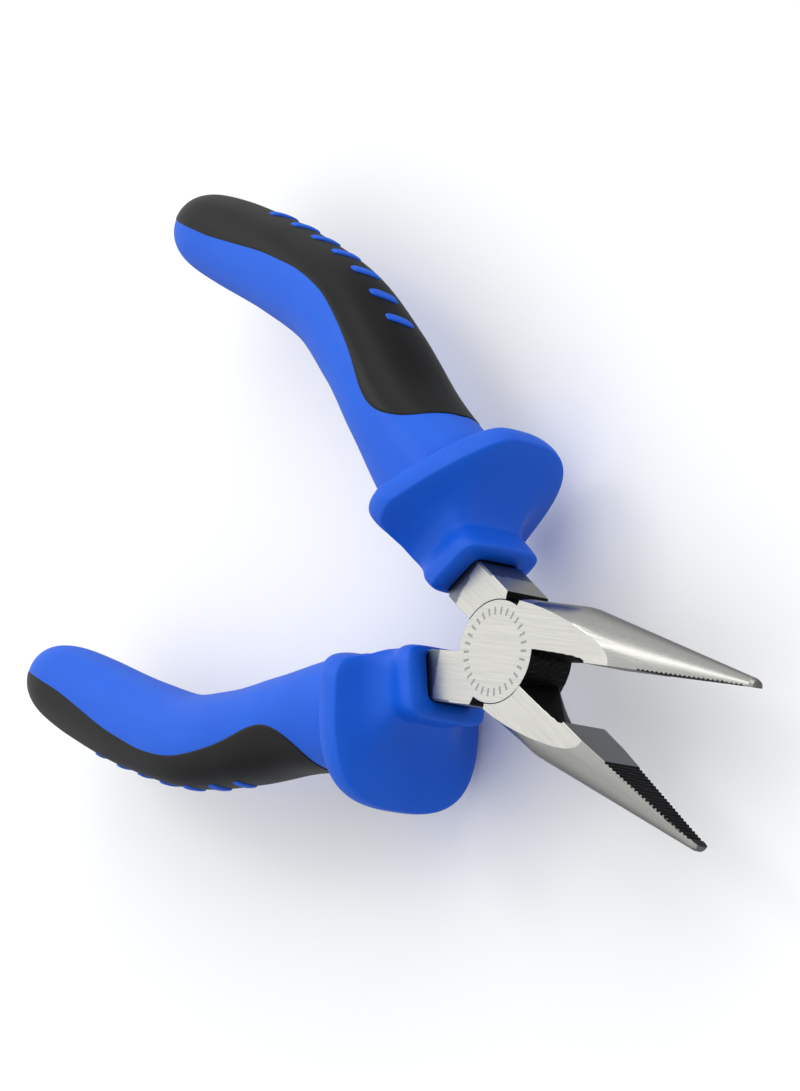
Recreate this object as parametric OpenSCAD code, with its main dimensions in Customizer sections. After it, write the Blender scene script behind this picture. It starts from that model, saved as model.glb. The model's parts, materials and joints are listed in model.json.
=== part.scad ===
// Mini long-nose pliers with a side cutter and two-colour moulded grips.
// They lie flat: +X runs towards the jaw tips along the middle of the open jaws, +Z is the front face.
// Each half is drawn in its own flat frame: x along the closed pliers towards the tips, y out towards
// the half's own handle, z up from the middle of the joint. The jaw is therefore on the -y side.

/* [Joint] */
// Thickness of the ground steel
steel_t = 6.6; // [6:0.1:7.2]
// Radius of the round joint disc
disc_r = 6; // [5.6:0.1:6.4]
// Angle between the jaws as drawn
open_angle = 27.5; // [10:0.5:40]
// Radius of the rivet's shank
rivet_r = 2; // [1.6:0.1:2.4]
// Radius of the rivet's flush countersunk heads
rivet_head_r = 3; // [2.6:0.1:3.6]
// Play between turning surfaces
play = 0.04; // [0.02:0.01:0.08]
// Angle from the closed line to the stop edge on the jaw
jaw_stop_angle = 66.5; // [60:0.5:70]
// Angle from the closed line to the stop edge on the tang
tang_stop_angle = 113.5; // [110:0.5:118]

/* [Jaws] */
// Length from the rivet to the jaw tip
jaw_length = 38.8; // [36:0.1:44]
// Height of a jaw beside the joint
jaw_h = 6.5; // [6:0.1:7]
// Where the cutter ends and the flat face starts
cutter_end = 14.6; // [13:0.1:16]
// Where the serrations start
teeth_start = 22.5; // [20:0.5:26]
// Pitch of the serrations
tooth_pitch = 0.65; // [0.5:0.05:0.8]
// Depth of the serrations
tooth_depth = 0.2; // [0.1:0.05:0.3]
// How far the cutter's bevels fall back from the closing plane
bevel_depth = 0.95; // [0.6:0.05:1.2]
// Slope of the relief behind the cutting edges at the cutter's end; it is twice this at the joint
back_slope = 0.55; // [0.5:0.01:0.6]
// Gap left between the closing faces
face_gap = 0.03; // [0.02:0.01:0.06]

/* [Grips] */
// Sides of the tang inside a grip, in the plane of the pliers
rod_w = 4.6; // [4:0.1:5]
// Sides of the tang inside a grip, across the pliers
rod_t = 4.4; // [4:0.1:5]
// Thickness of the black insert
insert_depth = 1.3; // [1:0.1:1.6]
// Half of the angle that the insert covers round the grip
insert_angle = 72; // [60:1:80]

/* [Hidden] */

eps = 0.01;
half_t = steel_t / 2;
half_open = open_angle / 2;
steel_fn = 96;

// The row's origin is on the ground under the middle of the pliers.
pivot_x = 21.4;
pivot_z = 12.6;

// Sections of a grip, from its jaw end to its butt. Each row holds the section's place along and out
// from the closed line, its tilt, its reach towards and away from the other handle, its half depth, the
// exponent of its superellipse, which is 2 for an ellipse and more for a squarer one, and how lopsided it
// is: the guard's lower side is shallower and squarer.
grip_rows = [
    [-10.3, 4.7, 18, 4.1, 3.9, 5.6, 5.5, 0],       // rounded edge of the collar's end
    [-10.7, 4.7, 18, 4.5, 4.3, 6.0, 5.0, 0],
    [-12.0, 4.8, 18, 4.6, 4.4, 6.1, 5.0, 0],       // collar
    [-13.8, 5.1, 16, 4.4, 4.4, 5.8, 4.5, 0],       // waist
    [-15.4, 5.3, 14, 4.2, 5.9, 6.4, 4.4, 0.35],
    [-16.6, 6.2, 12.5, 4.4, 8.4, 8.5, 3.8, 0.8],   // hollow face of the guard
    [-17.2, 7.7, 11.4, 5.4, 11.45, 11.7, 3.0, 1],
    [-17.45, 7.95, 11, 5.6, 12.1, 12.35, 2.8, 1],  // guard's rim
    [-18.8, 8.0, 11, 5.7, 12.3, 12.6, 2.8, 1],
    [-20.15, 8.0, 11, 5.7, 12.1, 12.35, 2.8, 1],
    [-20.5, 8.0, 11, 5.5, 11.2, 11.5, 2.7, 1],
    [-20.9, 8.4, 10, 5.8, 8.6, 8.8, 2.4, 0.7],     // back of the guard
    [-21.7, 8.9, 9, 6.7, 7.5, 7.2, 2.3, 0.3],
    [-23.0, 9.3, 7, 7.2, 7.2, 6.9, 2.3, 0],
    [-27.0, 9.8, 8, 6.8, 6.8, 7.0, 2.3, 0],
    [-35.0, 11.7, 15, 5.9, 5.9, 7.1, 2.3, 0],      // finger hollow
    [-44.0, 14.2, 13, 5.7, 5.7, 6.8, 2.3, 0],
    [-54.0, 15.7, 0, 5.7, 5.7, 6.2, 2.3, 0],       // palm swell
    [-64.0, 14.7, -9, 5.7, 5.7, 5.6, 2.3, 0],
    [-74.0, 12.7, -12, 5.5, 5.5, 5.1, 2.3, 0],
    [-80.5, 11.2, -11, 4.9, 4.9, 4.8, 2.3, 0],
    [-83.6, 10.5, -11, 3.8, 3.8, 4.0, 2.2, 0],     // butt
    [-85.2, 10.1, -11, 2.0, 2.0, 2.4, 2.0, 0]
];
first_tube_row = 13;
first_insert_row = 14;
last_insert_row = 20;
tube_steps = 2;
outer_points = 22;
insert_points = 12;
jaw_points = 32;

// Slope of a smooth curve at a row, from the steps before and after it: none at a peak
function slope(a, b) = a * b > 0 ? 2 * a * b / (a + b) : 0;

function row_slope(k) = [for (c = [0:7])
    k == 0 ? grip_rows[1][c] - grip_rows[0][c]
    : k == len(grip_rows) - 1 ? grip_rows[k][c] - grip_rows[k - 1][c]
    : slope(grip_rows[k][c] - grip_rows[k - 1][c], grip_rows[k + 1][c] - grip_rows[k][c])];

// Row between two given rows, at fraction t of the way: a cubic with the slopes above
function row_between(k, t) = t == 0 ? grip_rows[k]
    : (2 * t^3 - 3 * t^2 + 1) * grip_rows[k] + (t^3 - 2 * t^2 + t) * row_slope(k)
    + (3 * t^2 - 2 * t^3) * grip_rows[k + 1] + (t^3 - t^2) * row_slope(k + 1);

function signed_power(x, p) = sign(x) * pow(abs(x), p);

// Point of a section at angle a, which is 0 on the side away from the other handle, sunk by depth. The
// guard's upper outer corner is cut away by the share cut for each millimetre out.
function section_point(row, a, depth, cut = 0) =
    let (reach = (cos(a) > 0 ? row[4] : row[3]) - depth,
         n = row[6] + (cos(a) < 0 && sin(a) < 0 ? 1.5 * row[7] : 0),
         out = reach * signed_power(cos(a), 2 / n),
         less = row[7] * (sin(a) > 0 ? cut * max(out, 0) : 0.13))
    [row[0] + sin(row[2]) * out, row[1] + cos(row[2]) * out,
     (row[5] - depth) * signed_power(sin(a), 2 / n) * (1 - less)];

// Ring of a grip shell: its own skin, then the floor of the insert's bed, sunk by depth
function shell_ring(row, depth, cut) = concat(
    [for (j = [0:outer_points])
        section_point(row, insert_angle + j * (360 - 2 * insert_angle) / outer_points, 0, cut)],
    [for (j = [0:insert_points])
        section_point(row, insert_angle * (2 * j / insert_points - 1), max(depth, eps), cut)]);

// Ring of an insert: its skin one way and its underside back
function insert_ring(row) = concat(
    [for (j = [0:insert_points]) section_point(row, insert_angle * (2 * j / insert_points - 1), 0)],
    [for (j = [insert_points:-1:0])
        section_point(row, insert_angle * (2 * j / insert_points - 1), insert_depth)]);

// Closed solid through a list of rings with the same number of points
module loft(rings) {
    m = len(rings[0]);
    last = len(rings) - 1;
    sides = [for (k = [0:last - 1]) for (j = [0:m - 1])
        each [[k * m + j, (k + 1) * m + j, (k + 1) * m + (j + 1) % m],
              [k * m + j, (k + 1) * m + (j + 1) % m, k * m + (j + 1) % m]]];
    ends = [[for (j = [0:m - 1]) j], [for (j = [m - 1:-1:0]) last * m + j]];
    polyhedron(points = [for (r = rings) each r], faces = concat(sides, ends), convexity = 6);
}

// Sections along the insert, which the shell shares
function insert_rows() = [for (k = [first_insert_row:last_insert_row - 1]) for (i = [0:tube_steps - 1])
    row_between(k, i / tube_steps)];

// Outside of a grip shell, with the insert's bed let into it; the bed's ends rise within one step
module grip_skin(cut) {
    step = 0.04;
    before = concat([for (k = [0:first_insert_row - 1]) grip_rows[k]],
                    [row_between(first_insert_row - 1, 1 - step)]);
    after = concat([row_between(last_insert_row - 1, 0.5 + step)],
                   [for (k = [last_insert_row:len(grip_rows) - 1]) grip_rows[k]]);
    loft(concat([for (r = before) shell_ring(r, 0, cut)],
                [for (r = insert_rows()) shell_ring(r, insert_depth, cut)],
                [for (r = after) shell_ring(r, 0, cut)]));
}

// Middle line of the tang inside the grip
rod_rows = [for (k = [first_tube_row:len(grip_rows) - 4]) grip_rows[k]];
rod_line = concat([[-14, 4.2], [-18, 6.6]], [for (r = rod_rows) [r[0], r[1]]]);

function rod_side(side) = [for (k = [0:len(rod_line) - 1])
    let (a = rod_line[max(k - 1, 0)], b = rod_line[min(k + 1, len(rod_line) - 1)], d = b - a)
    rod_line[k] + side * rod_w / 2 * [d[1], -d[0]] / norm(d)];

// Tang where it runs inside the grip: a slightly slimmer neck and then a bent bar
module buried_tang() {
    linear_extrude(steel_t - 0.3, center = true)
        polygon([[-8, 0.75], [-13.8, 0.95], [-14.6, 1.9], [-14.6, 6.3], [-13.8, 6.55], [-8, 6.4]]);
    linear_extrude(rod_t, center = true)
        polygon(concat(rod_side(1), [for (k = [len(rod_line) - 1:-1:0]) rod_side(-1)[k]]));
}

// Tang outside the grip, with its stop edge along a line from the rivet
module tang() {
    reach = 2 * disc_r;
    stop = reach * [cos(tang_stop_angle), sin(tang_stop_angle)];
    intersection() {
        linear_extrude(steel_t, center = true)
            polygon([[0, 0.3], [-10.8, 0.7], [-9, 6.62], [0, 6.4]]);
        linear_extrude(steel_t + 2, center = true)
            polygon([[0, 0], stop, [-reach, reach], [-reach, 0]]);
    }
}

// Jaw section at distance x from the rivet: half width across the pliers and height
function jaw_half_width(x) = 0.9 + 0.118 * (jaw_length - x) + max(0, 12 - x)^2 * 0.03;
function jaw_height(x) = min(jaw_h, 0.9 + 0.205 * (jaw_length - x));
function jaw_ring(x, tip) = [for (j = [0:jaw_points])
    let (a = j * 180 / jaw_points)
    [x, -jaw_height(x) * tip * pow(sin(a), 2 / 2.3) - face_gap,
     jaw_half_width(x) * tip * signed_power(cos(a), 2 / 2.3)]];

module jaw_blank() {
    intersection() {
        loft(concat([for (x = [0:1:12]) jaw_ring(x, 1)],
                    [for (x = [14.5:2.5:jaw_length - 1.5]) jaw_ring(x, 1)],
                    [jaw_ring(jaw_length - 0.7, 1), jaw_ring(jaw_length - 0.2, 0.85),
                     jaw_ring(jaw_length, 0.5)]));
        translate([0, -20, -half_t])
            cube([60, 20, steel_t]);
        rotate([0, 0, -jaw_stop_angle])
            translate([0, 0, -half_t])
                cube([60, 60, steel_t]);
    }
}

// Serrations: one sawtooth outline, cut across the closing face
module serrations() {
    count = floor((jaw_length - 0.8 - teeth_start) / tooth_pitch);
    linear_extrude(steel_t + 2, center = true)
        polygon(concat([[teeth_start, 1]],
            [for (i = [0:count - 1]) each [[teeth_start + i * tooth_pitch, -face_gap],
                [teeth_start + (i + 0.5) * tooth_pitch, -face_gap - tooth_depth]]],
            [[teeth_start + count * tooth_pitch, -face_gap], [teeth_start + count * tooth_pitch, 1]]));
}

// Room taken away round the cutting edge. The edge crosses from the back of the jaw at the joint to
// its front at the cutter's end, so the bevels in front of it and behind it are twisted surfaces.
module cutter_relief() {
    x0 = disc_r - 0.6;
    x1 = cutter_end;
    edge = half_t - 0.4;
    z = half_t + 1;
    for (side = [1, -1])
        loft([for (i = [0:6]) let (x = x0 + (x1 - x0) * i / 6, ze = edge * (2 * i / 6 - 1))
            let (depth = side > 0 ? bevel_depth : back_slope * (2 - i / 6) * (z + ze))
            [[x, 2, side * z], [x, 2, ze], [x, -face_gap, ze], [x, -depth, side * z]]]);
}

// One forging: the rear one (face is 1) turns on the rivet, the front one (face is -1) is riveted tight
// and has its cutter turned over
module forging(face) {
    difference() {
        union() {
            difference() {
                union() {
                    difference() {
                        jaw_blank();
                        mirror([0, 0, face > 0 ? 0 : 1])
                            cutter_relief();
                        serrations();
                    }
                    tang();
                }
                translate([0, 0, -play / 2])
                    cylinder(h = steel_t, r = disc_r + play, $fn = steel_fn);
            }
            translate([0, 0, -half_t])
                cylinder(h = half_t - play / 2, r = disc_r, $fn = steel_fn);
        }
        rivet_shape(face > 0 ? play : 0);
    }
    buried_tang();
}

// Rivet: a shank with two flush countersunk heads, grown by gap for the hole that it turns in
module rivet_shape(gap) {
    head_h = rivet_head_r - rivet_r;
    rotate_extrude($fn = steel_fn)
        polygon([[0, -half_t], [rivet_head_r + gap, -half_t], [rivet_r + gap, head_h - half_t],
                 [rivet_r + gap, half_t - head_h], [rivet_head_r + gap, half_t], [0, half_t]]);
}

// Places of the two halves about the rivet
module rear_place() {
    translate([pivot_x, 0, pivot_z])
        rotate([0, 0, -half_open])
            children();
}

module front_place() {
    translate([pivot_x, 0, pivot_z])
        rotate([0, 0, half_open])
            rotate([180, 0, 0])
                children();
}

module grip_shell(cut) {
    difference() {
        grip_skin(cut);
        buried_tang();
    }
}

module grip_insert() {
    loft([for (r = insert_rows()) insert_ring(r)]);
}

module front_half() {
    color("lightgray") front_place() forging(-1);
}

module rear_half() {
    color("lightgray") rear_place() forging(1);
}

module pivot_rivet() {
    color("silver") translate([pivot_x, 0, pivot_z]) rivet_shape(0);
}

module front_grip_shell() {
    color("royalblue") front_place() grip_shell(0);
}

module rear_grip_shell() {
    color("royalblue") rear_place() grip_shell(0.045);
}

module front_grip_insert() {
    color("dimgray") front_place() grip_insert();
}

module rear_grip_insert() {
    color("dimgray") rear_place() grip_insert();
}

front_half();
rear_half();
pivot_rivet();
front_grip_shell();
rear_grip_shell();
front_grip_insert();
rear_grip_insert();
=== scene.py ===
"""Mini long-nose pliers with a side cutter and two-colour moulded grips, in satin steel and soft plastic.

Everything is drawn in millimetres in a half's own flat frame and then placed in the row's frame in
metres. In a half's frame, u runs along the closed pliers towards the tips, q out towards the half's own
handle, and w up from the middle of the joint. The jaw is on the -q side.
"""

import json
import math

import bmesh
import bpy
import numpy as np
from bpy.props import FloatProperty, FloatVectorProperty, IntProperty, PointerProperty, StringProperty
from mathutils import Matrix, Vector


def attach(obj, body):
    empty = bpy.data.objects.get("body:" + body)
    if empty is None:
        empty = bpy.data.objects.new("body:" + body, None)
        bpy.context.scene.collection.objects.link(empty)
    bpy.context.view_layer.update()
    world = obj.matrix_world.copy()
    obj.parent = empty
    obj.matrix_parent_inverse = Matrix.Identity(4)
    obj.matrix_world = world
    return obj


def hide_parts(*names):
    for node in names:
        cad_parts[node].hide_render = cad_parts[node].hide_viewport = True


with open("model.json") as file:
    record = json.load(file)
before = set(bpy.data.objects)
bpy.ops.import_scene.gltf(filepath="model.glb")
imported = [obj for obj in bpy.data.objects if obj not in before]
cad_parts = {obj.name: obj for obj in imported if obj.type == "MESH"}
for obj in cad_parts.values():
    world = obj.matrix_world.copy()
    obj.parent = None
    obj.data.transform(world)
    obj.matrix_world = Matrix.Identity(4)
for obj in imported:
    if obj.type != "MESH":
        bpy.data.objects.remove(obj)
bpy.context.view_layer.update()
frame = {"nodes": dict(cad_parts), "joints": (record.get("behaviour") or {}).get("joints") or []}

bl_info = {
    "name": "Long-nose pliers",
    "version": (1, 0, 0),
    "blender": (4, 5, 0),
    "location": "View3D > Sidebar > Pliers",
    "description": "Builds mini long-nose pliers around their CAD frame",
    "category": "Add Mesh",
}

MM = 0.001
PIVOT = np.array(frame["joints"][0]["pos_m"])
HALVES = ("front", "rear")
OPENING = math.radians(27.5)  # angle between the jaws at rest
DISC_R = 6.0         # radius of the round joint disc
HALF_T = 3.3         # half of the thickness of the steel
CUTTER_END = 14.6    # distance from the rivet to the cutter's end, where the flat face starts
TEETH_START = 22.5   # distance from the rivet to the serrations

# Sections of a grip from its jaw end to its butt, in millimetres and degrees. A row holds the section's
# place along and out from the closed line, its tilt, its reach towards and away from the other handle,
# its half depth, the exponent of its superellipse and how lopsided it is. The last rows round the butt off.
GRIP_ROWS = np.array([
    [-10.3, 4.7, 18, 4.1, 3.9, 5.6, 5.5, 0],       # rounded edge of the collar's end
    [-10.7, 4.7, 18, 4.5, 4.3, 6.0, 5.0, 0],
    [-12.0, 4.8, 18, 4.6, 4.4, 6.1, 5.0, 0],       # collar
    [-13.8, 5.1, 16, 4.4, 4.4, 5.8, 4.5, 0],       # waist
    [-15.4, 5.3, 14, 4.2, 5.9, 6.4, 4.4, 0.35],
    [-16.6, 6.2, 12.5, 4.4, 8.4, 8.5, 3.8, 0.8],   # hollow face of the guard
    [-17.2, 7.7, 11.4, 5.4, 11.45, 11.7, 3.0, 1],
    [-17.45, 7.95, 11, 5.6, 12.1, 12.35, 2.8, 1],  # guard's rim
    [-18.8, 8.0, 11, 5.7, 12.3, 12.6, 2.8, 1],
    [-20.15, 8.0, 11, 5.7, 12.1, 12.35, 2.8, 1],
    [-20.5, 8.0, 11, 5.5, 11.2, 11.5, 2.7, 1],
    [-20.9, 8.4, 10, 5.8, 8.6, 8.8, 2.4, 0.7],     # back of the guard
    [-21.7, 8.9, 9, 6.7, 7.5, 7.2, 2.3, 0.3],
    [-23.0, 9.3, 7, 7.2, 7.2, 6.9, 2.3, 0],
    [-27.0, 9.8, 8, 6.8, 6.8, 7.0, 2.3, 0],
    [-35.0, 11.7, 15, 5.9, 5.9, 7.1, 2.3, 0],      # finger hollow
    [-44.0, 14.2, 13, 5.7, 5.7, 6.8, 2.3, 0],
    [-54.0, 15.7, 0, 5.7, 5.7, 6.2, 2.3, 0],       # palm swell
    [-64.0, 14.7, -9, 5.7, 5.7, 5.6, 2.3, 0],
    [-74.0, 12.7, -12, 5.5, 5.5, 5.1, 2.3, 0],
    [-80.5, 11.2, -11, 4.9, 4.9, 4.8, 2.3, 0],
    [-83.6, 10.5, -11, 3.8, 3.8, 4.0, 2.2, 0],     # butt
    [-85.0, 10.2, -11, 2.3, 2.3, 2.7, 2.0, 0],
    [-85.5, 10.1, -11, 1.2, 1.2, 1.4, 2.0, 0],
    [-85.7, 10.1, -11, 0.02, 0.02, 0.02, 2.0, 0],
])
FIRST_SPAN = 13      # row after which the spans are long ones, along the handle
INSERT_START = 14.05  # row at which the black insert starts behind the guard

# Half angle that the insert covers round the grip, against the place along it. It swells beside the
# finger hollow, is narrower under the palm and covers the outer half of the butt.
INSERT_U = np.array(
    [-86.0, -76.0, -70.0, -64.0, -58.0, -51.0, -46.0, -41.0, -37.0, -34.5, -32.5, -30.5, -24.0])
INSERT_DEG = np.array(
    [94.0, 92.0, 84.5, 76.0, 70.5, 70.0, 73.5, 79.0, 84.5, 85.0, 80.0, 70.0, 46.0])
INSERT_NOSE = 0.75   # length, in rows, over which the insert's front end is rounded off
BAR_ROWS = (16.05, 18.5)  # rows at which the first and the last raised bar lie


# ---------------------------------------------------------------------------------------------- tools

def linear(colour_hex):
    """Linear RGBA of an sRGB hex colour."""
    parts = [int(colour_hex[i:i + 2], 16) / 255 for i in (1, 3, 5)]
    return (*[c / 12.92 if c <= 0.04045 else ((c + 0.055) / 1.055) ** 2.4 for c in parts], 1.0)


def place(points, half):
    """Half's own frame in millimetres to the row's frame in metres.

    The rear half is turned by minus half of the opening about the rivet. The front half is the same one
    turned over about its own length and then turned by plus half of the opening."""
    over = -1.0 if half == "front" else 1.0
    turn = -over * OPENING / 2
    u, q, w = points[..., 0], over * points[..., 1], over * points[..., 2]
    x = u * math.cos(turn) - q * math.sin(turn)
    y = u * math.sin(turn) + q * math.cos(turn)
    return np.stack([x, y, w], -1) * MM + PIVOT


def local(points, half):
    """Row's frame in metres to a half's own frame in millimetres: the inverse of place."""
    over = -1.0 if half == "front" else 1.0
    turn = -over * OPENING / 2
    x, y, z = np.moveaxis((points - PIVOT) / MM, -1, 0)
    u = x * math.cos(turn) + y * math.sin(turn)
    q = -x * math.sin(turn) + y * math.cos(turn)
    return np.stack([u, over * q, over * z], -1)


def turned(vectors, half):
    """Directions of the row's frame in a half's own frame."""
    return local(PIVOT + vectors * MM, half)


def lofted(name, groups, material):
    """Closed mesh object from groups of rings.

    Each group is an array of rings by points by 3, in the row's frame. Neighbouring points of
    neighbouring rings make a quad, each ring is joined up on itself, and the first and last rings of
    the group are filled, so every group is a closed body. Normals are then turned outwards."""
    vertices = []
    faces = []
    start = 0
    for rings in groups:
        count, around = rings.shape[:2]
        index = start + np.arange(count * around).reshape(count, around)
        after = np.roll(index, -1, axis=1)
        quads = np.stack([index[:-1], index[1:], after[1:], after[:-1]], -1).reshape(-1, 4)
        faces += quads.tolist() + [index[0].tolist(), index[-1, ::-1].tolist()]
        vertices.append(rings.reshape(-1, 3))
        start += count * around
    mesh = bpy.data.meshes.new(name)
    mesh.from_pydata(np.concatenate(vertices), [], faces)
    work = bmesh.new()
    work.from_mesh(mesh)
    bmesh.ops.remove_doubles(work, verts=work.verts, dist=0.002 * MM)
    bmesh.ops.recalc_face_normals(work, faces=work.faces)
    for face in work.faces:
        face.smooth = True
    work.to_mesh(mesh)
    work.free()
    mesh.materials.append(material)
    piece = bpy.data.objects.new(name, mesh)
    bpy.context.scene.collection.objects.link(piece)
    return piece


# ------------------------------------------------------------------------------------ grip's own shape

def grip_section(t):
    """Rows of the grip at row numbers t: a cubic between rows whose slope at a row is the harmonic mean
    of the steps before and after it, and none at a peak, so that it never overshoots."""
    steps = np.diff(GRIP_ROWS, axis=0)
    before, after = steps[:-1], steps[1:]
    total = np.where(before + after == 0, 1, before + after)
    inner = np.where(before * after > 0, 2 * before * after / total, 0)
    slopes = np.concatenate([steps[:1], inner, steps[-1:]])
    k = np.clip(t.astype(int), 0, len(GRIP_ROWS) - 2)
    f = (t - k)[..., None]
    return ((2 * f**3 - 3 * f**2 + 1) * GRIP_ROWS[k] + (f**3 - 2 * f**2 + f) * slopes[k]
            + (3 * f**2 - 2 * f**3) * GRIP_ROWS[k + 1] + (f**3 - f**2) * slopes[k + 1])


def grip_point(t, direction, lift=0.0):
    """Point of the grip's skin at row number t, seen in a direction from the section's centre, raised by
    lift. Direction 0 looks away from the other handle and a quarter turn looks up.

    The section is the superellipse |c/reach|^n + |s/depth|^n = 1, with its own reach on each side, and
    the point lies on it at the distance that the direction's cosine c and sine s give. Where it is
    lopsided, its lower side is shallower and the inner corner there is squarer."""
    row = grip_section(t)
    c, s = np.cos(direction), np.sin(direction)
    n = row[..., 6] + row[..., 7] * np.where((c < 0) & (s < 0), 1.5, 0)
    reach = np.maximum(np.where(c > 0, row[..., 4], row[..., 3]) + lift, 0.01)
    depth = np.maximum(row[..., 5] + lift, 0.01)
    distance = (np.abs(c / reach) ** n + np.abs(s / depth) ** n) ** (-1 / n)
    tilt = np.radians(row[..., 2])
    out = distance * c
    up = distance * s * np.where(s < 0, 1 - 0.13 * row[..., 7], 1)
    return np.stack([row[..., 0] + np.sin(tilt) * out, row[..., 1] + np.cos(tilt) * out, up], -1)


def insert_half_angle(t):
    """Half angle that the insert covers at row number t: a smooth curve through the given ones, times a
    quarter of a superellipse at the front end, which closes it with rounded corners."""
    u = grip_section(t)[..., 0]
    fine = np.linspace(INSERT_U[0], INSERT_U[-1], 240)
    blur = np.hanning(15)
    rough = np.radians(np.interp(fine, INSERT_U, INSERT_DEG))
    smooth = np.convolve(np.pad(rough, 7, mode="edge"), blur / blur.sum(), mode="valid")
    nose = np.clip((t - INSERT_START) / INSERT_NOSE, 0, 1)
    return np.interp(u, fine, smooth) * (1 - (1 - nose) ** 3.2) ** (1 / 2.2)


def grip_stations(first, last):
    """Row numbers from first to last: few between the close rows of the guard, many along the handle."""
    knots = [(0, 7), (FIRST_SPAN, 18), (20, 10), (len(GRIP_ROWS) - 1, 0)]
    parts = [np.arange(a, b, 1 / n) for (a, n), (b, _) in zip(knots[:-1], knots[1:])]
    t = np.concatenate([*parts, [len(GRIP_ROWS) - 1]])
    return np.unique(np.concatenate([[first], t[(t > first) & (t < last)], [last]]))


def border_distance(t, direction):
    """Distance in millimetres from the insert's border, which is above 0 inside it.

    It is the spare angle divided by the length of that angle's gradient on the skin, which is 1/radius
    round the grip and the half angle's own slope along it."""
    step = 0.01
    span = 2 * step
    spare = insert_half_angle(t) - np.abs(direction)
    radius = np.linalg.norm(grip_point(t, direction) - grip_section(t)[..., [0, 1, 1]] * [1, 1, 0], axis=-1)
    rise = (insert_half_angle(t + step) - insert_half_angle(t - step)) / span
    run = np.linalg.norm(grip_point(t + step, direction) - grip_point(t - step, direction), axis=-1) / span
    return spare / np.hypot(1 / np.maximum(radius, 0.1), rise / np.maximum(run, 0.1))


def tang_cavity(direction):
    """Rings of the room for the tang, from its blind end to the collar's mouth: superellipses with an
    exponent of 8, so almost rectangles, along the middle of the grip."""
    rows = grip_section(np.arange(20.0, FIRST_SPAN, -1.0))
    bar = np.stack([rows[:, 0], rows[:, 1], rows[:, 2], 0 * rows[:, 0] + 2.35, 0 * rows[:, 0] + 2.25], -1)
    neck = np.array([
        [-18.0, 6.6, 30, 2.4, 2.3], [-14.9, 4.4, 18, 2.5, 2.5], [-14.2, 3.9, 18, 2.95, 3.4],
        [-12.0, 3.9, 18, 2.95, 3.45], [-10.6, 3.85, 18, 2.98, 3.5], [-10.3, 3.85, 18, 3.05, 3.6],
    ])
    u, q, tilt, half, depth = np.concatenate([bar, neck]).T[..., None]
    c, s = np.cos(direction), np.sin(direction)
    distance = (np.abs(c / half) ** 8 + np.abs(s / depth) ** 8) ** (-1 / 8)
    tilt = np.radians(tilt)
    return np.stack([u + np.sin(tilt) * distance * c, q + np.cos(tilt) * distance * c, distance * s], -1)


def shell_rings(half, settings):
    """Rings of a grip shell: out of the tang's cavity, over the collar and the guard and along the handle
    to the butt. The skin drops into the insert's bed a little inside the insert's border. The rear grip's
    guard loses its upper outer corner: its height is scaled down in proportion to the way out."""
    direction = np.linspace(-math.pi, math.pi, settings.points_round, endpoint=False)
    t = grip_stations(0.0, len(GRIP_ROWS) - 1.0)[:, None]
    inside = border_distance(t, direction)
    bed = np.clip((inside - settings.bed_lip) / settings.bed_lip, 0, 1) * settings.bed_depth
    skin = grip_point(t, direction, -bed)
    if half == "rear":
        row = grip_section(t)
        out = (skin[..., 1] - row[..., 1]) / np.cos(np.radians(row[..., 2]))
        cut = row[..., 7] * settings.corner_cut * np.maximum(out, 0)
        skin[..., 2] *= np.where(skin[..., 2] > 0, 1 - cut, 1)
    return np.concatenate([tang_cavity(direction), skin])


def insert_rings(settings):
    """Rings of the insert: its skin one way round and its underside back. The skin stands a little proud
    and dives at the border in a rounded shoulder, so that the border is one clean line."""
    across = np.sin(np.linspace(-math.pi / 2, math.pi / 2, 61))
    t = grip_stations(INSERT_START + 0.004, len(GRIP_ROWS) - 1.0)
    nose = INSERT_START + INSERT_NOSE * np.linspace(0.01, 1, 40) ** 2
    t = np.unique(np.concatenate([t, nose]))[:, None]
    direction = insert_half_angle(t) * across
    inside = np.maximum(border_distance(t, direction), 0)
    shoulder = (1 - np.clip(inside / settings.shoulder, 0, 1)) ** 2
    top = settings.insert_proud - (settings.insert_proud + settings.tuck) * shoulder
    sunk = np.clip((inside - settings.bed_lip) / settings.bed_lip, 0, 1)
    under = -settings.tuck - (settings.insert_depth - settings.tuck) * sunk - 0.01
    skin = grip_point(t, direction, top)
    floor = grip_point(t, direction, under)
    return np.concatenate([skin, floor[:, ::-1]], axis=1)


def bar_rings(t_middle, settings):
    """Rings of one raised bar on the insert: a pad whose outline is a superellipse across the handle,
    leaning a little. It rises from its edge like a quarter of a superellipse and is closed below."""
    angle = np.linspace(0, 2 * math.pi, 56, endpoint=False)
    share = np.concatenate([np.linspace(0.03, 0.8, 5), np.linspace(0.86, 1, 7), [0.97, 0.5, 0.03]])[:, None]
    c, s = np.cos(angle), np.sin(angle)
    round_off = (np.abs(c) ** 4 + np.abs(s) ** 4) ** -0.25
    along = settings.bar_width / 2 * share * round_off * c
    over = settings.bar_length / 2 * share * round_off * s
    height = (settings.bar_height + settings.tuck) * (1 - np.minimum(share, 1) ** 8) ** 0.5
    lift = settings.insert_proud - settings.tuck + height
    lift[-3:] = settings.insert_proud - 2 * settings.tuck
    before, after = grip_section(np.array([t_middle - 0.05, t_middle + 0.05]))
    run = math.dist(before[:2], after[:2]) / 0.1
    t = t_middle + (along + settings.bar_lean * over) / run
    radius = grip_section(np.array(t_middle))[4]
    return grip_point(t, over / radius, lift + 0 * over)


# -------------------------------------------------------------------------------------------- materials

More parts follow.
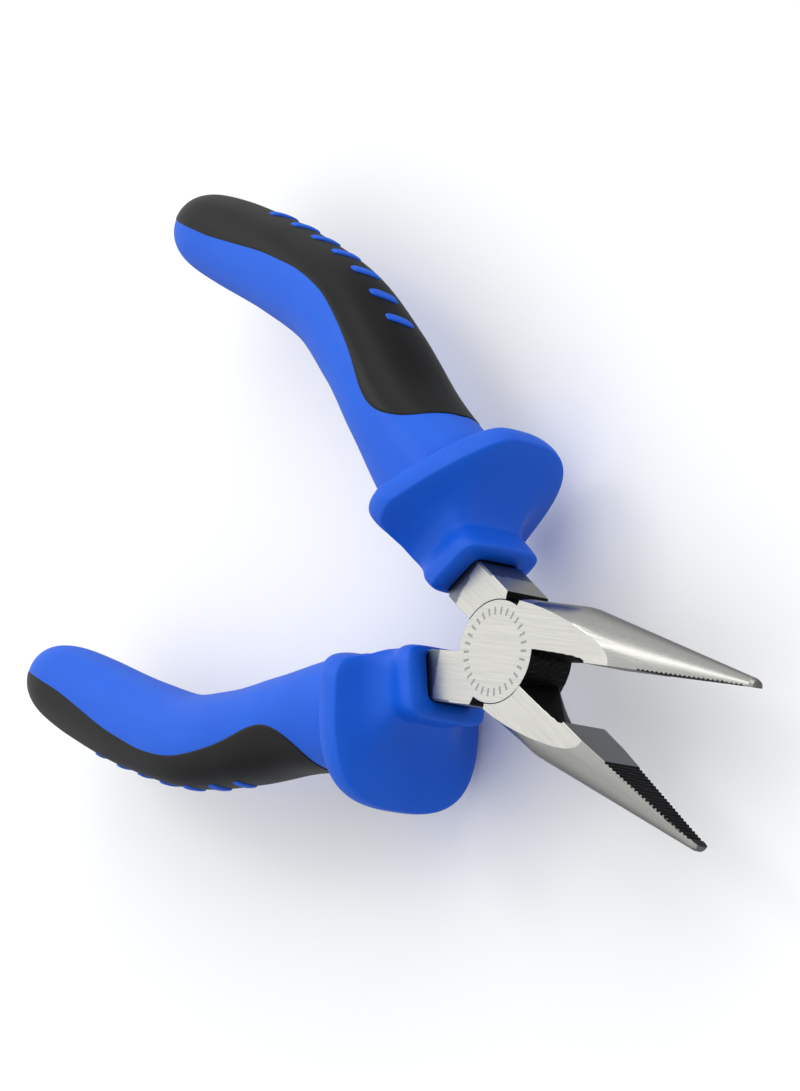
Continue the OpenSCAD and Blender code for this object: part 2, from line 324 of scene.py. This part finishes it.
def add(tree, kind, inputs=None, **settings):
    """New node of a kind, with its settings, and with each input set to a value or linked to a socket."""
    node = tree.nodes.new(kind)
    for name, value in settings.items():
        setattr(node, name, value)
    for name, value in (inputs or {}).items():
        if isinstance(value, bpy.types.NodeSocket):
            tree.links.new(value, node.inputs[name])
        else:
            node.inputs[name].default_value = value
    return node


def math_node(tree, operation, *values):
    """Output of a Math node, whose inputs are numbers or sockets."""
    return add(tree, "ShaderNodeMath", dict(enumerate(values)), operation=operation).outputs[0]


def blank_material(name):
    """New material with nothing but its output, and its node tree."""
    made = bpy.data.materials.new(name)
    made.use_nodes = True
    made.node_tree.nodes.clear()
    return made, made.node_tree


def finish_material(tree, shader):
    add(tree, "ShaderNodeOutputMaterial", {"Surface": shader.outputs[0]})


def half_position(tree, half):
    """Position in a half's own frame in millimetres: the inverse of place, as a Mapping node."""
    over = math.pi if half == "front" else 0.0
    turn = Matrix.Rotation(OPENING / 2, 3, "Z") @ Matrix.Rotation(over, 3, "X")
    shift = -(turn @ Vector(PIVOT)) / MM
    source = add(tree, "ShaderNodeTexCoord")
    mapped = add(tree, "ShaderNodeMapping", {
        "Vector": source.outputs["Object"], "Location": shift,
        "Rotation": (over, 0.0, OPENING / 2), "Scale": (1 / MM,) * 3})
    return mapped.outputs[0]


def streaks(tree, position, spacing, length):
    """Noise drawn out along the pliers: lines of a given spacing and length in millimetres."""
    drawn = add(tree, "ShaderNodeMapping", {
        "Vector": position, "Scale": (1 / length, 1 / spacing, 1 / spacing)})
    return add(tree, "ShaderNodeTexNoise", {
        "Vector": drawn.outputs[0], "Scale": 1.0, "Detail": 3.0, "Roughness": 0.6}).outputs["Fac"]


def ground_steel(name, half, dark, light, roughness, settings):
    """Chrome vanadium tool steel, belt ground to a satin: an even light grey, with fine lines along the
    pliers that catch the light. Real lines are about 0.03 mm apart; they are drawn at 0.16 mm to show.
    A ring of plain ticks is etched round the joint, and the tang is coloured blue-grey in a band at its
    grip.
    The tapered jaws are the same steel polished round, darker by painted shade as they mirror less light."""
    made, tree = blank_material(name + "_" + half)
    position = half_position(tree, half)
    fine = streaks(tree, position, 0.16, 6.0)
    broad = streaks(tree, position, 0.9, 14.0)
    u, q, w = add(tree, "ShaderNodeSeparateXYZ", {"Vector": position}).outputs
    grey = add(tree, "ShaderNodeMix", {
        "Factor": fine, "A": linear(dark), "B": linear(light)}, data_type="RGBA")
    # Ticks: a band of radii, cut into equal shares of a turn
    radius = math_node(tree, "SQRT", math_node(
        tree, "ADD", math_node(tree, "MULTIPLY", u, u), math_node(tree, "MULTIPLY", q, q)))
    off_band = math_node(tree, "ABSOLUTE", math_node(tree, "SUBTRACT", radius, settings.tick_radius))
    turns = math_node(tree, "DIVIDE", math_node(tree, "ARCTAN2", q, u), 2 * math.pi / settings.tick_count)
    off_tick = math_node(tree, "ABSOLUTE", math_node(tree, "SUBTRACT", math_node(
        tree, "FRACT", math_node(tree, "ADD", turns, float(settings.tick_count))), 0.5))
    in_band = math_node(tree, "LESS_THAN", off_band, settings.tick_length / 2)
    in_tick = math_node(tree, "LESS_THAN", off_tick, settings.tick_share / 2)
    on_face = math_node(tree, "LESS_THAN", w, 0.1 - HALF_T)
    etched = math_node(tree, "MULTIPLY", math_node(tree, "MULTIPLY", in_band, in_tick), on_face)
    faint = math_node(tree, "MULTIPLY", etched, 0.55)
    marked = add(tree, "ShaderNodeMix", {
        "Factor": faint, "A": grey.outputs["Result"], "B": linear(settings.etch)}, data_type="RGBA")
    # Blue-grey band by the grip: everything behind a line across the tang, further forward on its outer
    # side
    outer = math_node(tree, "MULTIPLY", math_node(tree, "GREATER_THAN", q, 6.28), settings.tang_band_step)
    waver = math_node(tree, "MULTIPLY", math_node(tree, "SUBTRACT", broad, 0.5), 0.8)
    line = math_node(tree, "ADD", math_node(tree, "SUBTRACT", outer, settings.tang_band_from), waver)
    tang_band = add(tree, "ShaderNodeMapRange", {
        "Value": math_node(tree, "SUBTRACT", line, u), "From Min": -0.15, "From Max": 0.25,
        "To Min": 0.0, "To Max": 0.85}, interpolation_type="SMOOTHSTEP")
    colour = add(tree, "ShaderNodeMix", {
        "Factor": tang_band.outputs[0], "A": marked.outputs["Result"], "B": linear(settings.tang_band)},
        data_type="RGBA")
    rough = add(tree, "ShaderNodeMapRange", {
        "Value": fine, "To Min": roughness - 0.07, "To Max": roughness + 0.07})
    bump = add(tree, "ShaderNodeBump", {"Height": fine, "Strength": 0.35, "Distance": 0.012 * MM})
    finish_material(tree, add(tree, "ShaderNodeBsdfPrincipled", {
        "Base Color": colour.outputs["Result"], "Metallic": 1.0, "Roughness": rough.outputs[0],
        "Normal": bump.outputs[0]}))
    return made


def black_oxide(half, settings):
    """Hot black oxide over milled steel: near black with a faint oily sheen, and the milling cutter's
    arcs still showing through it. The arcs are 0.45 mm apart, about twice the real ones, to show."""
    made, tree = blank_material("black_oxide_on_milled_steel_" + half)
    position = half_position(tree, half)
    centred = add(tree, "ShaderNodeMapping", {"Vector": position, "Location": (-3.0, 1.5, 3.0)})
    arcs = add(tree, "ShaderNodeTexWave", {
        "Vector": centred.outputs[0], "Scale": 0.7, "Distortion": 1.2, "Detail": 2.0},
        wave_type="RINGS", rings_direction="SPHERICAL")
    worn = add(tree, "ShaderNodeTexNoise", {"Vector": position, "Scale": 2.2, "Detail": 4.0})
    amount = add(tree, "ShaderNodeMapRange", {
        "Value": math_node(tree, "MULTIPLY", arcs.outputs["Fac"], worn.outputs["Fac"]),
        "From Min": 0.42, "From Max": 0.62})
    colour = add(tree, "ShaderNodeMix", {
        "Factor": amount.outputs[0], "A": linear(settings.oxide_dark), "B": linear(settings.oxide_light)},
        data_type="RGBA")
    rough = add(tree, "ShaderNodeMapRange", {"Value": worn.outputs["Fac"], "To Min": 0.38, "To Max": 0.6})
    bump = add(tree, "ShaderNodeBump", {
        "Height": arcs.outputs["Fac"], "Strength": 0.4, "Distance": 0.03 * MM})
    finish_material(tree, add(tree, "ShaderNodeBsdfPrincipled", {
        "Base Color": colour.outputs["Result"], "Metallic": 0.6, "Roughness": rough.outputs[0],
        "Normal": bump.outputs[0]}))
    return made


def milled_steel(half, settings):
    """Tool steel milled across and hardened: a darker, even grey with fine lines across the jaw. The
    lines are drawn 0.2 mm apart, which is coarser than real, to show."""
    made, tree = blank_material("milled_hardened_steel_" + half)
    position = half_position(tree, half)
    drawn = add(tree, "ShaderNodeMapping", {"Vector": position, "Scale": (5.0, 0.5, 0.25)})
    lines = add(tree, "ShaderNodeTexNoise", {"Vector": drawn.outputs[0], "Scale": 1.0, "Detail": 2.0})
    colour = add(tree, "ShaderNodeMix", {
        "Factor": lines.outputs["Fac"], "A": linear(settings.milled_dark),
        "B": linear(settings.milled_light)}, data_type="RGBA")
    bump = add(tree, "ShaderNodeBump", {
        "Height": lines.outputs["Fac"], "Strength": 0.3, "Distance": 0.015 * MM})
    finish_material(tree, add(tree, "ShaderNodeBsdfPrincipled", {
        "Base Color": colour.outputs["Result"], "Metallic": 1.0, "Roughness": 0.42,
        "Normal": bump.outputs[0]}))
    return made


def moulded_plastic(name, dark, light, roughness, gloss):
    """Soft thermoplastic elastomer, moulded against a fine spark-eroded tool: an even colour with broad
    soft highlights. The tool's grain is about 0.05 mm and is drawn at 0.3 mm to show. Slow changes of tone
    come from how the melt filled the mould."""
    made, tree = blank_material(name)
    source = add(tree, "ShaderNodeTexCoord").outputs["Object"]
    flow = add(tree, "ShaderNodeTexNoise", {"Vector": source, "Scale": 1 / (9 * MM), "Detail": 2.0})
    texture = add(tree, "ShaderNodeTexNoise", {"Vector": source, "Scale": 1 / (0.3 * MM), "Detail": 2.0})
    colour = add(tree, "ShaderNodeMix", {
        "Factor": flow.outputs["Fac"], "A": linear(dark), "B": linear(light)}, data_type="RGBA")
    rough = add(tree, "ShaderNodeMapRange", {
        "Value": texture.outputs["Fac"], "To Min": roughness - 0.05, "To Max": roughness + 0.05})
    bump = add(tree, "ShaderNodeBump", {
        "Height": texture.outputs["Fac"], "Strength": 0.25, "Distance": 0.02 * MM})
    finish_material(tree, add(tree, "ShaderNodeBsdfPrincipled", {
        "Base Color": colour.outputs["Result"], "Roughness": rough.outputs[0], "Specular IOR Level": gloss,
        "Normal": bump.outputs[0]}))
    return made


def grip_blue(settings):
    found = bpy.data.materials.get("blue_elastomer")
    return found or moulded_plastic("blue_elastomer", settings.blue_dark, settings.blue_light, 0.45, 0.25)


def grip_black(settings):
    found = bpy.data.materials.get("black_elastomer")
    return found or moulded_plastic("black_elastomer", settings.black_dark, settings.black_light, 0.38, 0.2)


# -------------------------------------------------------------------------------------------- settings

def colour_text(name, default):
    return StringProperty(name=name, description="sRGB hex colour", default=default)


def length(name, description, default):
    return FloatProperty(name=name, description=description + ", in millimetres", default=default, min=0.0)


class GripSettings(bpy.types.PropertyGroup):
    points_round: IntProperty(
        name="Points round", description="Points round a grip", default=144, min=48, max=200)
    corner_cut: FloatProperty(
        name="Corner cut", description="Share of the rear guard's upper corner cut away per millimetre out",
        default=0.045)
    bed_depth: length("Bed depth", "Depth of the insert's bed", 1.3)
    bed_lip: length("Bed lip", "How far inside the insert's border the bed starts to drop", 0.6)
    insert_depth: length("Insert depth", "Thickness of the insert under the skin", 1.2)
    insert_proud: length("Insert proud", "How far the insert stands above the shell", 0.1)
    shoulder: length("Shoulder", "Width of the insert's rounded border", 0.5)
    tuck: length("Tuck", "How far borders are tucked below the surface around them", 0.25)
    bar_length: length("Bar length", "Length of a raised bar across the handle", 4.0)
    bar_width: length("Bar width", "Width of a raised bar", 1.3)
    bar_height: length("Bar height", "Height of a raised bar", 0.25)
    bar_lean: FloatProperty(name="Bar lean", description="Slope of the raised bars", default=0.18)
    bar_count: IntProperty(name="Bars", description="Raised bars on each grip", default=7, min=1, max=12)
    blue_dark: colour_text("Blue, dark", "#0450C8")
    blue_light: colour_text("Blue, light", "#065FD8")
    black_dark: colour_text("Black, dark", "#050506")
    black_light: colour_text("Black, light", "#0B0A0A")


class SteelSettings(bpy.types.PropertyGroup):
    edge: length("Edge", "Width of the small flat left on each ground edge", 0.09)
    tick_radius: length("Tick radius", "Middle radius of the etched ticks", 4.7)
    tick_length: length("Tick length", "Length of an etched tick", 0.9)
    tick_count: IntProperty(name="Ticks", description="Etched ticks in a full turn", default=30)
    tick_share: FloatProperty(
        name="Tick share", description="Share of a pitch that a tick fills", default=0.3)
    # Place and colour of the blue-grey band on the tang next to its grip
    tang_band_from: length("Tang band", "Distance of the tang band's edge behind the rivet", 9.1)
    tang_band_step: length("Tang band step", "How much further forward the band runs on the outer side", 3.0)
    steel_dark: colour_text("Steel, dark", "#A6A5A0")
    steel_light: colour_text("Steel, light", "#D2D0CA")
    # The jaws' darker colours are painted shade, for rounded sides that mirror less of the light
    jaw_shade_dark: colour_text("Jaws, dark", "#8D8C89")
    jaw_shade_light: colour_text("Jaws, light", "#9F9E9A")
    etch: colour_text("Etching", "#55555A")
    tang_band: colour_text("Tang band", "#5A6472")
    oxide_dark: colour_text("Oxide, dark", "#020203")
    oxide_light: colour_text("Oxide, light", "#2A2C33")
    milled_dark: colour_text("Milled steel, dark", "#858689")
    milled_light: colour_text("Milled steel, light", "#9D9EA1")


class StageSettings(bpy.types.PropertyGroup):
    aim: FloatVectorProperty(
        name="Aim", description="Point looked at, from the rivet, in millimetres",
        default=(-11.85, 7.62, 11.52))
    distance: length("Distance", "Camera's distance from that point", 560.9)
    azimuth: FloatProperty(
        name="Azimuth", description="Camera's way round", default=math.radians(100.37), subtype="ANGLE")
    elevation: FloatProperty(
        name="Elevation", description="Camera's height", default=math.radians(41.73), subtype="ANGLE")
    roll: FloatProperty(
        name="Roll", description="Camera's turn about its line of sight", default=math.radians(-78.39),
        subtype="ANGLE")
    lens: length("Lens", "Focal length on a sensor 36 mm along the picture's long side", 161.88)
    floor: colour_text("Floor", "#F4F4F4")
    key_power: FloatProperty(
        name="Key light", description="Power of the key light, in watts", default=1.0)
    glint_power: FloatProperty(
        name="Glint", description="Power of the small light, in watts", default=0.9)
    side_power: FloatProperty(
        name="Side light", description="Power of the side light, in watts", default=2.2)
    bright_way: FloatVectorProperty(
        name="Bright side", description="Direction that the studio is brightest in",
        default=(-0.42, 0.25, 0.87))
    world_top: colour_text("Light overhead", "#FBFCFD")
    world_low: colour_text("Light from below", "#95979B")
    world_strength: FloatProperty(
        name="Even light", description="Strength of the studio's even light", default=1.12)


# --------------------------------------------------------------------------------------------- pieces

class PLIERS_OT_grip_shells(bpy.types.Operator):
    """Build the blue grip shells with their collars, thumb guards and insert beds"""
    bl_idname = "pliers.grip_shells"
    bl_label = "Grip shells"

    def execute(self, context):
        settings = context.scene.pliers_grips
        for half in HALVES:
            rings = place(shell_rings(half, settings), half)
            piece = lofted(half + "_grip_moulding", [rings], grip_blue(settings))
            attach(piece, half)
            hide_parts(half + "_grip_shell")
        return {"FINISHED"}


class PLIERS_OT_grip_inserts(bpy.types.Operator):
    """Build the black inserts on the outer sides of the grips"""
    bl_idname = "pliers.grip_inserts"
    bl_label = "Grip inserts"

    def execute(self, context):
        settings = context.scene.pliers_grips
        rings = insert_rings(settings)
        for half in HALVES:
            piece = lofted(half + "_grip_panel", [place(rings, half)], grip_black(settings))
            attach(piece, half)
            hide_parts(half + "_grip_insert")
        return {"FINISHED"}


class PLIERS_OT_grip_bars(bpy.types.Operator):
    """Build the raised bars of the blue plastic that come through the inserts"""
    bl_idname = "pliers.grip_bars"
    bl_label = "Grip bars"

    def execute(self, context):
        settings = context.scene.pliers_grips
        rows = np.linspace(*BAR_ROWS, settings.bar_count)
        groups = [bar_rings(t, settings) for t in rows]
        for half in HALVES:
            placed = [place(rings, half) for rings in groups]
            piece = lofted(half + "_grip_bars", placed, grip_blue(settings))
            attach(piece, half)
        return {"FINISHED"}


GROUND, POLISHED_SHADED, OXIDE, MILLED = range(4)


def steel_finish(middle, normal):
    """Finish of a face of a forging, from its middle and its normal in the half's own frame.

    What faces the other jaw is milled, and blackened in the cutter and on the serrations. The wall of the
    joint's pocket, the disc's rim, its inner face and the stop edges are blackened. The rounded sides of
    the jaws are polished, and the rest is ground."""
    u, q, w = middle
    radius = math.hypot(u, q)
    in_plane = abs(normal[2]) < 0.35
    outward = abs(normal[0] * u + normal[1] * q)
    if u > 5.2 and q > -4.6 and (normal[1] > 0.25 or (in_plane and normal[0] < -0.9 and u > 14)):
        flat = CUTTER_END + 0.02 < u < TEETH_START - 0.1 and normal[1] > 0.9
        return MILLED if flat else OXIDE
    if in_plane and DISC_R - 0.1 < radius < DISC_R + 0.15 and outward > 0.9 * radius:
        return OXIDE
    if in_plane and radius > DISC_R - 0.1 and outward < 0.12 * radius and u > -6.5:
        return OXIDE
    if abs(w) < 0.1 and abs(normal[2]) > 0.9:
        return OXIDE
    # Polished faces take the darker jaw steel, whose colour is painted shade
    return POLISHED_SHADED if u > 5 and abs(normal[2]) < 0.995 else GROUND


class PLIERS_OT_forgings(bpy.types.Operator):
    """Give the two forgings softened edges and their ground, milled and blackened finishes"""
    bl_idname = "pliers.forgings"
    bl_label = "Forgings"

    def execute(self, context):
        settings = context.scene.pliers_steel
        for half in HALVES:
            mesh = frame["nodes"][half + "_half"].data.copy()
            mesh.name = half + "_forging"
            mesh.materials.clear()
            for made in (
                    ground_steel("satin_ground_tool_steel", half, settings.steel_dark,
                                 settings.steel_light, 0.35, settings),
                    # Jaw steel, whose darker colours are painted shade
                    ground_steel("polished_steel_painted_shade", half, settings.jaw_shade_dark,
                                 settings.jaw_shade_light, 0.29, settings),
                    black_oxide(half, settings), milled_steel(half, settings)):
                mesh.materials.append(made)
            work = bmesh.new()
            work.from_mesh(mesh)
            bmesh.ops.remove_doubles(work, verts=work.verts, dist=0.002 * MM)
            bmesh.ops.dissolve_limit(
                work, angle_limit=math.radians(0.2), verts=work.verts, edges=work.edges)
            weight = work.edges.layers.float.new("bevel_weight_edge")
            for face in work.faces:
                face.smooth = True
                middle = local(np.array(face.calc_center_median()), half)
                face.material_index = steel_finish(middle, turned(np.array(face.normal), half))
            for edge in work.edges:
                if len(edge.link_faces) != 2:
                    continue
                bend = edge.calc_face_angle(0.0)
                edge.smooth = bend < math.radians(13)
                least = min(face.calc_area() for face in edge.link_faces)
                if bend > math.radians(25) and least > 0.8 * MM**2:
                    edge[weight] = 1.0
            work.to_mesh(mesh)
            work.free()
            piece = bpy.data.objects.new(half + "_forging", mesh)
            context.scene.collection.objects.link(piece)
            bevel = piece.modifiers.new("Edges", "BEVEL")
            bevel.limit_method = "WEIGHT"
            bevel.width = settings.edge * MM
            bevel.segments = 2
            bevel.use_clamp_overlap = False
            bevel.harden_normals = True
            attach(piece, half)
            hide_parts(half + "_half")
        return {"FINISHED"}


class PLIERS_OT_rivet(bpy.types.Operator):
    """Finish the rivet like the front forging that it is ground flush with"""
    bl_idname = "pliers.rivet"
    bl_label = "Rivet"

    def execute(self, context):
        node = frame["nodes"]["pivot_rivet"]
        node.data.materials.clear()
        node.data.materials.append(bpy.data.materials["satin_ground_tool_steel_front"])
        return {"FINISHED"}


class PLIERS_OT_stage(bpy.types.Operator):
    """Build the floor, the lights and the camera"""
    bl_idname = "pliers.stage"
    bl_label = "Stage"

    def execute(self, context):
        settings = context.scene.pliers_stage
        self.build_floor(context, settings)
        self.build_lights(context, settings)
        self.build_camera(context, settings)
        context.scene.view_settings.view_transform = "Standard"
        return {"FINISHED"}

    def build_floor(self, context, settings):
        """Flat square, 2 m across, just under the pliers. It is hidden from mirror rays, so that the steel
        shows the dimmer studio below and keeps its contrast."""
        made, tree = blank_material("matt_white_paper")
        source = add(tree, "ShaderNodeTexCoord").outputs["Object"]
        grain = add(tree, "ShaderNodeTexNoise", {"Vector": source, "Scale": 1 / (2 * MM), "Detail": 2.0})
        bump = add(tree, "ShaderNodeBump", {
            "Height": grain.outputs["Fac"], "Strength": 0.05, "Distance": 0.02 * MM})
        finish_material(tree, add(tree, "ShaderNodeBsdfPrincipled", {
            "Base Color": linear(settings.floor), "Roughness": 0.9, "Normal": bump.outputs[0]}))
        corner = np.array([[-1, -1], [1, -1], [1, 1], [-1, 1]], float)
        points = np.column_stack([corner, np.full(4, -0.0005)])
        mesh = bpy.data.meshes.new("floor")
        mesh.from_pydata(points, [], [(0, 1, 2, 3)])
        mesh.materials.append(made)
        floor = bpy.data.objects.new("floor", mesh)
        context.scene.collection.objects.link(floor)
        floor.visible_glossy = False

    def build_lights(self, context, settings):
        """Two large soft lights, a small one that draws a glint along the upper jaw, and a studio's even
        light that is brighter overhead and behind."""
        lights = (
            ("key", settings.key_power, 1.1, (-0.75, 0.10, 0.75)),
            ("side", settings.side_power, 0.8, (-0.10, 0.85, 0.60)),
            ("glint", settings.glint_power, 0.26, (-0.60, 0.27, 0.78)),
        )
        for name, power, size, way in lights:
            data = bpy.data.lights.new(name, "AREA")
            data.energy = power
            data.size = size
            lamp = bpy.data.objects.new(name, data)
            lamp.location = Vector(way)
            lamp.rotation_euler = Vector(way).to_track_quat("Z", "Y").to_euler()
            context.scene.collection.objects.link(lamp)
        world = bpy.data.worlds.new("studio")
        world.use_nodes = True
        tree = world.node_tree
        tree.nodes.clear()
        way = add(tree, "ShaderNodeTexCoord").outputs["Generated"]
        back = add(tree, "ShaderNodeVectorMath", {0: way, 1: settings.bright_way}, operation="DOT_PRODUCT")
        share = add(tree, "ShaderNodeMapRange", {
            "Value": back.outputs["Value"], "From Min": -0.15, "From Max": 0.5})
        colour = add(tree, "ShaderNodeMix", {
            "Factor": share.outputs[0], "A": linear(settings.world_low), "B": linear(settings.world_top)},
            data_type="RGBA")
        light = add(tree, "ShaderNodeBackground", {
            "Color": colour.outputs["Result"], "Strength": settings.world_strength})
        add(tree, "ShaderNodeOutputWorld", {"Surface": light.outputs[0]})
        context.scene.world = world

    def build_camera(self, context, settings):
        """Camera on a sphere round its aim, then turned about its line of sight."""
        a, e = settings.azimuth, settings.elevation
        back = Vector((math.sin(a) * math.cos(e), -math.cos(a) * math.cos(e), math.sin(e)))
        level = Vector((math.cos(a), math.sin(a), 0.0))
        upright = back.cross(level)
        right = level * math.cos(settings.roll) + upright * math.sin(settings.roll)
        data = bpy.data.cameras.new("camera")
        data.lens = settings.lens
        data.sensor_width = 36.0
        data.clip_start = 0.01
        camera = bpy.data.objects.new("camera", data)
        turn = Matrix((right, back.cross(right), back)).transposed()
        where = Vector(PIVOT) + (Vector(settings.aim) + back * settings.distance) * MM
        camera.matrix_world = Matrix.Translation(where) @ turn.to_4x4()
        context.scene.collection.objects.link(camera)
        context.scene.camera = camera


class PLIERS_PT_panel(bpy.types.Panel):
    """List the settings and the operators in the sidebar"""
    bl_idname = "PLIERS_PT_panel"
    bl_label = "Pliers"
    bl_space_type = "VIEW_3D"
    bl_region_type = "UI"
    bl_category = "Pliers"

    def draw(self, context):
        for label, group in (("Grips", context.scene.pliers_grips), ("Steel", context.scene.pliers_steel),
                             ("Stage", context.scene.pliers_stage)):
            box = self.layout.box()
            box.label(text=label)
            for name in group.__annotations__:
                box.prop(group, name)
        for operator in OPERATORS:
            self.layout.operator(operator.bl_idname)


OPERATORS = (PLIERS_OT_stage, PLIERS_OT_grip_shells, PLIERS_OT_grip_inserts, PLIERS_OT_grip_bars,
             PLIERS_OT_forgings, PLIERS_OT_rivet)
GROUPS = {"pliers_grips": GripSettings, "pliers_steel": SteelSettings, "pliers_stage": StageSettings}


def register():
    for group in (*GROUPS.values(), *OPERATORS, PLIERS_PT_panel):
        bpy.utils.register_class(group)
    for name, group in GROUPS.items():
        setattr(bpy.types.Scene, name, PointerProperty(type=group))


def unregister():
    for name in GROUPS:
        delattr(bpy.types.Scene, name)
    for group in reversed((*GROUPS.values(), *OPERATORS, PLIERS_PT_panel)):
        bpy.utils.unregister_class(group)


def main():
    register()
    bpy.ops.pliers.stage()
    bpy.ops.pliers.grip_shells()
    bpy.ops.pliers.grip_inserts()
    bpy.ops.pliers.grip_bars()
    bpy.ops.pliers.forgings()
    bpy.ops.pliers.rivet()
    bpy.context.view_layer.update()


if __name__ == "__main__":
    main()
